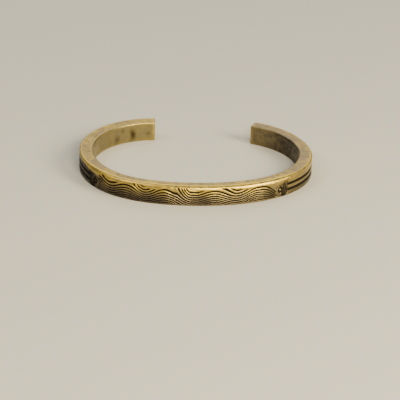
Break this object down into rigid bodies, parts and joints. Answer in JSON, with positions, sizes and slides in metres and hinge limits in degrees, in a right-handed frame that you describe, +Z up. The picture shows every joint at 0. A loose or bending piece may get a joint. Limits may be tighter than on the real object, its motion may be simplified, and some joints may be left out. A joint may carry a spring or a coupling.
{
  "type": "cuff bracelet",
  "caption": "Open C-shaped cuff bracelet: a cast aged brass bar with flowing wave lines across the front and long grooves along the arms, lying on its side.",
  "frame": {"origin": "middle of the bounding box at the plane the cuff lies on", "axes": "+Z up, across the bar's wide side; +X to the right along the worked front; +Y towards the gap between the tips"},
  "size_m": [0.066, 0.0522, 0.0056],
  "materials": {
    "aged_brass": "worn satin with dark patina in the grooves"
  },
  "bodies": {
    "root": {"cuff": "aged_brass"}
  },
  "joints": []
}
